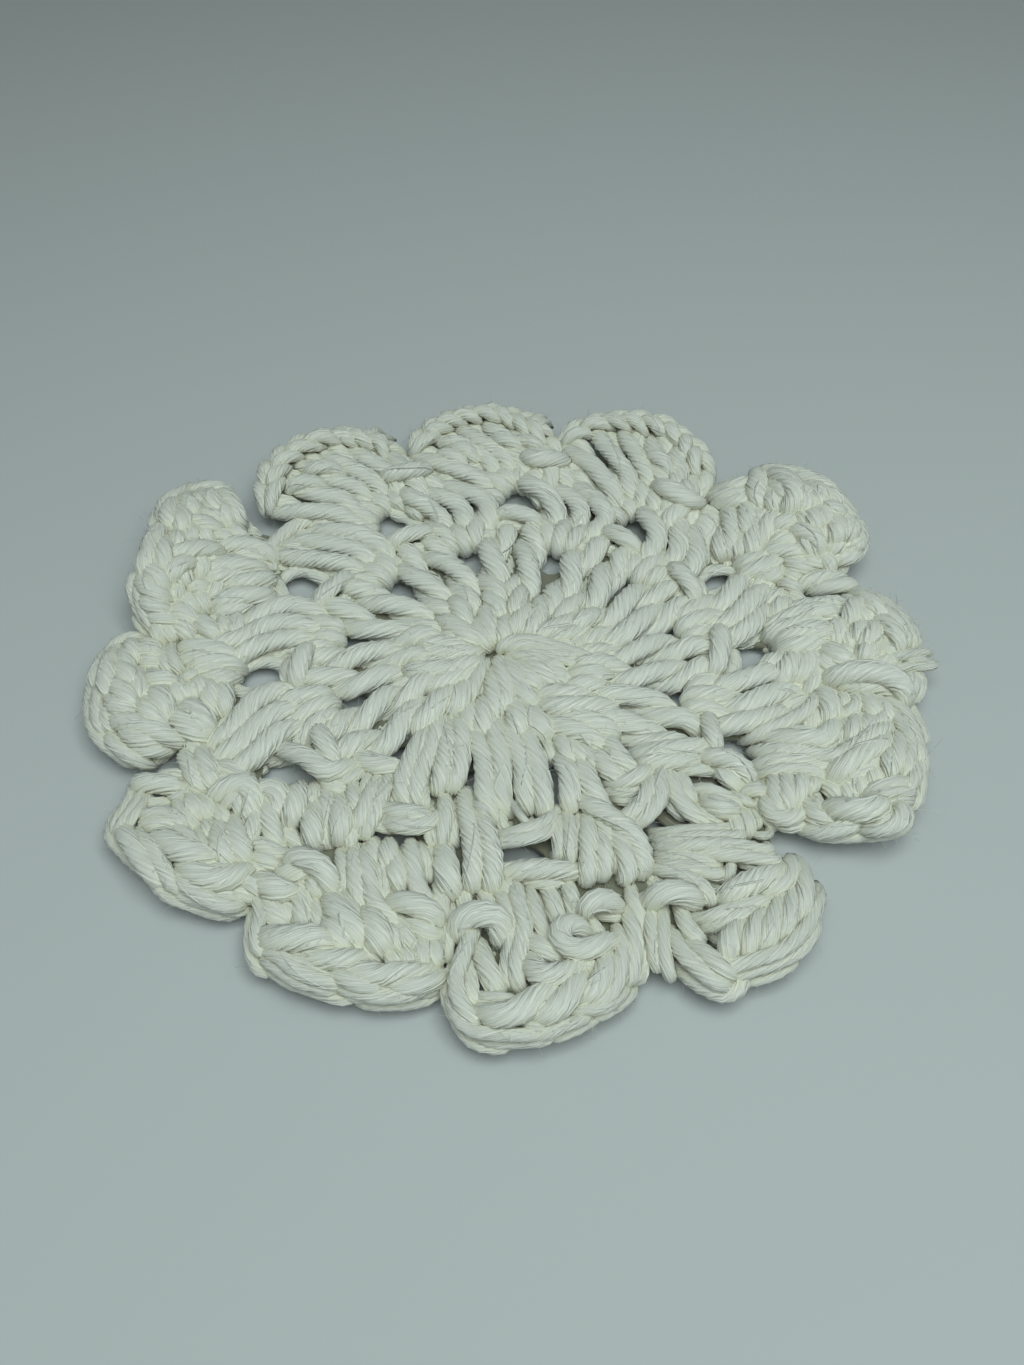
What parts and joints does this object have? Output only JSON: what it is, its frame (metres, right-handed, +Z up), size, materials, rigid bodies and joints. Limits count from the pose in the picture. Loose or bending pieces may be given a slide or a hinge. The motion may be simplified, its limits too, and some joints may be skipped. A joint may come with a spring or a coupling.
{
  "type": "crochet coaster",
  "caption": "Round crocheted cotton coaster with a closed centre, rings of open gaps and a scalloped rim of petals; lies flat under a cup.",
  "frame": {"origin": "middle of the rounds on the flat underside, where the coaster meets the table", "axes": "+Z up, out of the right side of the work; -Y towards the viewer of the picture; +X to the viewer's right"},
  "size_m": [0.1067, 0.1067, 0.0089],
  "materials": {
    "white_cotton": "matt undyed cotton yarn, plied, slightly fuzzy"
  },
  "bodies": {
    "root": {"coaster": "white_cotton"}
  },
  "joints": []
}
